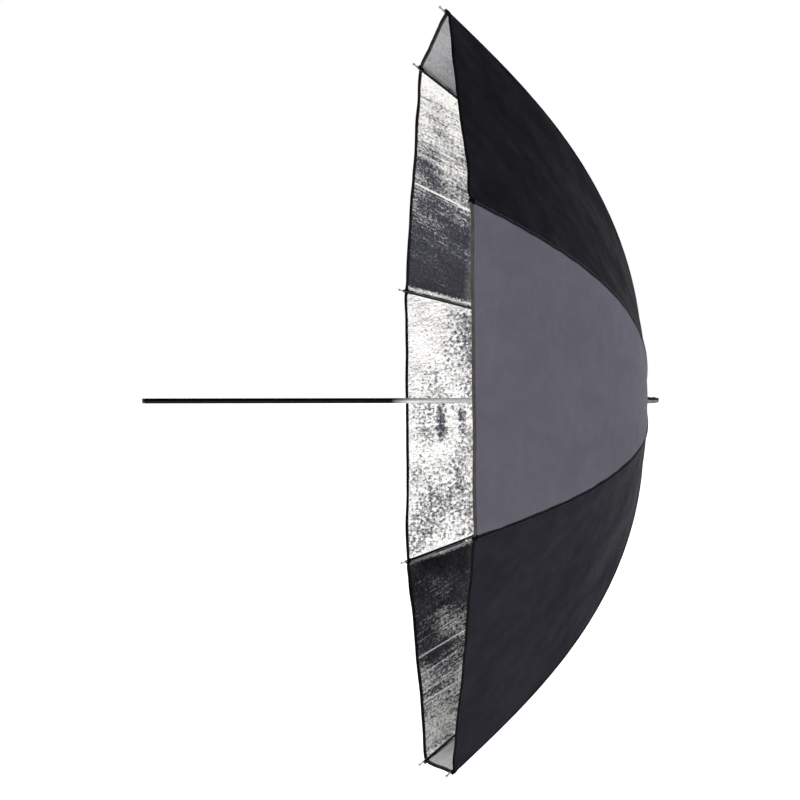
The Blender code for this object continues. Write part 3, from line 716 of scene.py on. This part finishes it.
def seam_strip(index, tape, sewing, piping):
    """The felled seam over a rib: a low ridge outside with two rows of stitches, and its allowance inside.

    The side before the grey panel shows that cloth's folded edge.
    """
    steps = 110
    start, end = SEAM_ENDS
    turn = about_shaft(rib_angle(index))
    points, uvs = [], []
    drop = sin(HALF_STEP) / cos(HALF_STEP)

    def over(share, across, lift):
        slope = line_at(share)[2]
        return turn @ rib_point(share, across, lift - abs(across) * drop * sin(slope))

    count = 2 * len(SEAM_PROFILE)
    for i in range(steps + 1):
        share = start + (end - start) * i / steps
        wide = SEAM_HALF_WIDTH * (0.75 + 0.25 * smooth_step(0.0, 0.3, share))
        proud = SEAM_PROUD + 0.00012 * noise.noise((share * 90, index * 3.1, 0.5))
        points += [over(share, a * wide, OUTER_LIFT - 0.00008 + proud * h) for a, h in SEAM_PROFILE]
        points += [over(share, a * wide, INNER_LIFT + 0.0001) for a, h in reversed(SEAM_PROFILE)]
        uvs += [(RIB_LENGTH * i / steps, n * 0.001) for n in range(count)]
    weights = [0.0] * len(points)
    faces = tube_faces(steps + 1, count)
    piped = PIPED_SIDES if index == GREY_PANEL else ()
    slots = [2 if n in piped else 0 for n in range(count)] * steps + [0, 0]
    stitches = int(RIB_LENGTH * (end - start) / STITCH_PITCH)
    for row in SEAM_STITCH_ROWS:
        for i in range(stitches):
            first = start + (end - start) * (i + STITCH_GAP) / stitches
            last = first + (end - start) * STITCH_LENGTH / STITCH_PITCH / stitches
            ends = [seam_stitch_end(over, share, row * SEAM_HALF_WIDTH) for share in (first, last)]
            add_stitch(points, uvs, weights, faces, slots, ends, (first, last))
    name = f"seam_{index}"
    mesh = build_mesh(name, points, faces, slots, uvs, sharp=radians(45))
    fix_normals(mesh)
    piece = new_piece(name, mesh)
    add_materials(piece, tape, sewing, piping)
    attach(piece, f"rib_{index}")
    return piece


def corner_pocket(index, tape):
    """The small folded pocket at each corner that the rib's tip is pushed into."""
    turn = about_shaft(rib_angle(index))
    points, uvs = [], []
    rows = 10
    places = [-1 + n / 4 for n in range(9)]
    low = INNER_LIFT - HEM_PROUD - 0.00035
    for i in range(rows + 1):
        f = i / rows
        share = 1 - (POCKET_LENGTH - POCKET_PAST) / RIB_LENGTH + POCKET_LENGTH / RIB_LENGTH * f
        half = POCKET_HALF_WIDTH - POCKET_TAPER * f**1.5
        top = OUTER_LIFT + 0.0008 + 0.0005 * sin(pi * min(f * 1.2, 1.0))
        drop = half * 0.30 * sin(line_at(min(share, 1.0))[2])
        points += [turn @ rib_point(share, a * half, top - abs(a) * drop - 0.0003 * a * a) for a in places]
        points += [turn @ rib_point(share, a * half, low - abs(a) * drop) for a in reversed(places)]
        uvs += [(0.01 * i / rows, 0.001 * n) for n in range(2 * len(places))]
    mesh = build_mesh("corner_pocket", points, tube_faces(rows + 1, 2 * len(places)), uvs=uvs)
    fix_normals(mesh)
    piece = new_piece(f"corner_pocket_{index}", mesh)
    add_materials(piece, tape)
    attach(piece, f"rib_{index}")
    return piece


def rib_ties(index, sewing):
    """Threads that tie the canopy's seam to the rib, four squarish turns at each of three places."""
    turn = about_shaft(rib_angle(index))
    points, faces = [], []
    sides, around = 6, 20
    reach = RIB_WIDTH / 2 + 0.0003
    high, low = INNER_LIFT + 0.0001, -RIB_DROP - RIB_DEPTH - 0.0003
    middle, tall = (high + low) / 2, (high - low) / 2
    for share in TIE_PLACES:
        for wrap in TIE_TURNS:
            start = len(points)
            for i in range(around):
                a = tau * i / around
                c, s = cos(a), sin(a)
                square = max(abs(c), abs(s)) ** 0.75
                for n in range(sides):
                    b = tau * n / sides
                    wide = TIE_RADIUS * cos(b)
                    over = (reach + wide) * c / square
                    lift = middle + (tall + wide) * s / square
                    step = (wrap + TIE_RADIUS * sin(b)) / RIB_LENGTH
                    points.append(turn @ rib_point(share + step, over, lift))
            for i in range(around):
                for n in range(sides):
                    j, m = (i + 1) % around, (n + 1) % sides
                    quad = (i * sides + n, i * sides + m, j * sides + m, j * sides + n)
                    faces.append(tuple(start + q for q in quad))
    name = f"rib_ties_{index}"
    mesh = build_mesh(name, points, faces)
    fix_normals(mesh)
    piece = new_piece(name, mesh)
    add_materials(piece, sewing)
    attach(piece, f"rib_{index}")
    return piece


def crown_cap(tape, sewing):
    """The round cloth cap over the crown, with a pinked edge, soft gathers and a ring of stitches."""
    low, high = (Vector(c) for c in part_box("crown_patch"))
    rings, around = 14, 144
    points, uvs, faces, slots, weights = [], [], [], [], []
    tall = high.x - low.x

    def at(f, a, lift):
        """A point a share f of the way from the cap's bore to its edge, at the angle a about the shaft."""
        pinked = 0.0007 * (2 * abs((a * CAP_POINTS / tau) % 1 - 0.5) - 0.5) * smooth_step(0.85, 1.0, f)
        r = CAP_BORE + (high.z - 0.0004 - CAP_BORE) * f + pinked
        gather = 0.00022 * sin(a * 11 + 0.7) * sin(pi * f)
        gather += 0.00025 * noise.noise((cos(a) * 3, sin(a) * 3, f * 3))
        dome = tall * (0.56 * (1 - f) ** 0.8 + 0.05) + 0.0003 * f
        x = low.x + dome + gather * smooth_step(0.1, 0.4, f) + lift
        return Vector((min(x, high.x), r * sin(a), r * cos(a)))

    for lift in (CAP_THICKNESS, 0.0):
        for i in range(rings + 1):
            for j in range(around):
                a = tau * j / around
                points.append(at(i / rings, a, lift))
                uvs.append((points[-1].y, points[-1].z))
                weights.append(0.0)
    layer = (rings + 1) * around
    for i in range(rings):
        for j in range(around):
            k = (j + 1) % around
            a, b, c, d = i * around + j, i * around + k, (i + 1) * around + k, (i + 1) * around + j
            faces += [(a, b, c, d), (layer + d, layer + c, layer + b, layer + a)]
            slots += [0, 0]
    for i in (0, rings):
        for j in range(around):
            k = (j + 1) % around
            a, b = i * around + j, i * around + k
            faces.append((a, b, layer + b, layer + a))
            slots.append(0)
    ring, half = CAP_STITCH_RING, 0.015
    places = (ring - half, CAP_THICKNESS), (ring, 0.0008), (ring + half, CAP_THICKNESS), (ring, 0.0003)
    for j in range(CAP_STITCHES):
        first, last = tau * j / CAP_STITCHES, tau * (j + CAP_STITCH_SHARE) / CAP_STITCHES
        ends = [[at(f, a, lift) for f, lift in places] for a in (first, last)]
        add_stitch(points, uvs, weights, faces, slots, ends, (first, last))
    mesh = build_mesh("crown_cap", points, faces, slots, uvs)
    fix_normals(mesh)
    piece = new_piece("crown_cap", mesh)
    add_materials(piece, tape, sewing)
    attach(piece, "shaft")
    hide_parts("crown_patch")
    return piece


# The stage


def make_camera():
    """A long lens a little to the left of straight on, looking slightly down."""
    level = cos(CAMERA_DOWN)
    right = Vector((cos(CAMERA_TURN), -sin(CAMERA_TURN), 0))
    ahead = Vector((sin(CAMERA_TURN) * level, cos(CAMERA_TURN) * level, -sin(CAMERA_DOWN)))
    up = right.cross(ahead)
    aim = (ahead + right * AIM_RIGHT + up * AIM_UP).normalized()
    data = bpy.data.cameras.new("camera")
    data.sensor_width = SENSOR
    data.lens = LENS
    data.clip_end = CLIP_END
    camera = bpy.data.objects.new("camera", data)
    camera.location = Vector((TIP_PLANE_X, 0, 0)) - ahead * CAMERA_DISTANCE
    camera.rotation_euler = aim.to_track_quat("-Z", "Y").to_euler()
    bpy.context.scene.collection.objects.link(camera)
    bpy.context.scene.camera = camera


def area_light(name, place, target, size, power):
    data = bpy.data.lights.new(name, "AREA")
    data.size = size
    data.energy = power
    light = bpy.data.objects.new(name, data)
    light.location = place
    light.rotation_euler = (Vector(target) - Vector(place)).to_track_quat("-Z", "Y").to_euler()
    bpy.context.scene.collection.objects.link(light)


def backdrop_world():
    """White all round, but for a dimmer room behind the camera (-Y) and overhead."""
    world = bpy.data.worlds.new("world")
    world.use_nodes = True
    nodes, links = world.node_tree.nodes, world.node_tree.links
    direction = nodes.new("ShaderNodeTexCoord")
    parts = nodes.new("ShaderNodeSeparateXYZ")
    falloff = nodes.new("ShaderNodeMapRange")
    falloff.interpolation_type = "SMOOTHSTEP"
    for name, value in zip(("From Min", "From Max", "To Min", "To Max"), (*ROOM_EDGE, ROOM_LIGHT, 1.0)):
        falloff.inputs[name].default_value = value
    links.new(direction.outputs["Generated"], parts.inputs[0])
    tilt = nodes.new("ShaderNodeMath")
    tilt.operation = "MULTIPLY_ADD"
    tilt.inputs[1].default_value = -CEILING_DARK
    links.new(parts.outputs["Z"], tilt.inputs[0])
    links.new(parts.outputs["Y"], tilt.inputs[2])
    links.new(tilt.outputs[0], falloff.inputs["Value"])
    links.new(falloff.outputs[0], nodes["Background"].inputs["Strength"])
    nodes["Background"].inputs["Color"].default_value = (1, 1, 1, 1)
    return world


def make_floor():
    low = min(corner[2] for corner in cad_box) - FLOOR_BELOW
    wide = FLOOR_CELLS + 1
    places = [FLOOR_SIDE * (i / FLOOR_CELLS - 0.5) for i in range(wide)]
    points = [(x, y, low) for y in places for x in places]
    corners = [j * wide + i for j in range(FLOOR_CELLS) for i in range(FLOOR_CELLS)]
    faces = [(a, a + 1, a + wide + 1, a + wide) for a in corners]
    floor = new_piece("floor", build_mesh("floor", points, faces, smooth=False))
    made = Finish("floor_paint")
    place = made.object_space()
    mottle = made.noise(place, 3, 3, 0.5)
    made.set(Base_Color=made.mix(mottle, (0.93, 0.93, 0.93), (0.96, 0.96, 0.96)), Roughness=0.8)
    made.set(Emission_Color=(1.0, 1.0, 1.0), Emission_Strength=FLOOR_GLOW)
    add_materials(floor, made.material)


def make_stage():
    """A pale floor, the white backdrop and two soft lights."""
    make_floor()
    bpy.context.scene.world = backdrop_world()
    bpy.context.scene.view_settings.view_transform = "Standard"
    bpy.context.scene.view_settings.look = "None"
    area_light("key", (0.75, -3.3, -0.60), CANOPY_MIDDLE, 1.1, 13)
    area_light("fill", (-2.6, -0.6, 0.1), CANOPY_MIDDLE, 1.6, 16)


# Assembly


def dress_nodes():
    """Finishes for the metal and plastic nodes that keep the model's own shapes."""
    # The chrome shaft's outer length is painted near black: a painted reflection of the dark room.
    chrome = metal("shaft_chrome", (0.97, 0.95, 0.94), 0.30, 0.10, (0.03, 1, 1), painted_dark_reflection=(0.010, 0.010, 0.014))
    crown = metal("crown_plate", (0.16, 0.16, 0.17), 0.26, 0.16, (1, 1, 1))
    enamel = metal("rib_enamel", (0.030, 0.030, 0.034), 0.17, 0.08, (1, 1, 1))
    tip = metal("tip_nickel", (0.42, 0.41, 0.41), 0.3, 0.12, (1, 1, 1))
    spring = metal("spring_steel", (0.5, 0.5, 0.52), 0.3, 0.16, (0.2, 1, 1), 0.08)
    black = moulded("runner_plastic", (0.018, 0.018, 0.02))
    by_slot = {
        "shaft_steel": chrome,
        "crown_steel": crown,
        "rib_steel": enamel,
        "tip_steel": tip,
        "spring_steel": spring,
        "black_plastic": black,
    }
    slots = {part["node"]: part["material_slot"] for part in frame["record"]["subparts"]}
    for name, node in frame["nodes"].items():
        material = crown if name == "ferrule" else by_slot.get(slots.get(name))
        if material:
            for held in node.material_slots:
                held.material = material


def make_linings():
    """Painted light: near the hem each panel's silver is painted brighter or darker, and lighter towards one
    rib, as the light falls on that panel.
    """
    # Lit and shaded tones of the one silver, painted per panel; the marks on panel 6 are painted dark
    # reflections.
    dark, dull = (0.014, 0.014, 0.020), (0.03, 0.03, 0.04)
    worn_and_shaded, plain = (0.09, 0.09, 0.095), (0.20, 0.20, 0.21)
    white, lit_silver, pale = (0.92, 0.91, 0.89), (0.77, 0.76, 0.745), (0.66, 0.65, 0.63)
    grey, shaded = (0.36, 0.35, 0.35), (0.18, 0.175, 0.175)
    linings = {
        5: silver_lining("silver_5", 5, dark, white, -0.030, -0.75),
        6: silver_lining("silver_6", 6, dull, lit_silver, 0.192, 0.17, 0.050, 230, 0.6, PAINTED_REFLECTIONS),
        7: silver_lining("silver_7", 7, dark, pale, -0.050, 1.0, 0.09),
        8: silver_lining("silver_8", 8, worn_and_shaded, shaded, 0.03),
    }
    for panel in range(1, RIB_COUNT + 1):
        if panel not in linings:
            linings[panel] = silver_lining(f"silver_{panel}", panel, plain, grey, 0.03)
    return linings


def half_panel_area():
    """The flat area of half a panel, from its width all along the rib."""
    steps = 200
    middles = [round((i + 0.5) / steps, 4) for i in range(steps)]
    return sum(line_at(share)[1] * sin(HALF_STEP) * RIB_LENGTH / steps for share in middles)


def make_cloth():
    """Both halves of each panel with their hems, then what is sewn over each rib, then the cap."""
    black = shell_cloth("black_shell", (0.0125, 0.0116, 0.0172), (0.0180, 0.0168, 0.0235), 0.62, 0.0, 0.0045)
    grey = shell_cloth("grey_shell", (0.124, 0.119, 0.146), (0.144, 0.138, 0.168), 0.66, 0.03, 0.0018)
    linings = make_linings()
    tape = tape_cloth("black_tape", (0.004, 0.0035, 0.004))
    grey_tape = tape_cloth("grey_tape", (0.082, 0.070, 0.068))
    seam = tape_cloth("seam_cloth", (0.004, 0.0037, 0.006))
    sewing = thread("black_thread", (0.03, 0.028, 0.03))
    tie = thread("tie_thread", (0.05, 0.05, 0.055))
    flat = (line_at(1.0)[1] * sin(HALF_STEP), RIB_LENGTH)
    area = half_panel_area()
    for panel in range(1, RIB_COUNT + 1):
        is_grey = panel == GREY_PANEL
        shell, binding, slot = (grey, grey_tape, "grey_cloth") if is_grey else (black, tape, "black_cloth")
        for half, side, rib in (("a", 1, panel), ("b", -1, panel % RIB_COUNT + 1)):
            cloth = half_panel(panel, half, side, rib, (shell, linings[panel]))
            hem = hem_strip(panel, half, side, rib, binding, sewing)
    for index in range(1, RIB_COUNT + 1):
        pieces = seam_strip(index, seam, sewing, grey), corner_pocket(index, tape), rib_ties(index, tie)
    crown_cap(tape, sewing)


make_camera()
make_stage()
dress_nodes()
make_cloth()
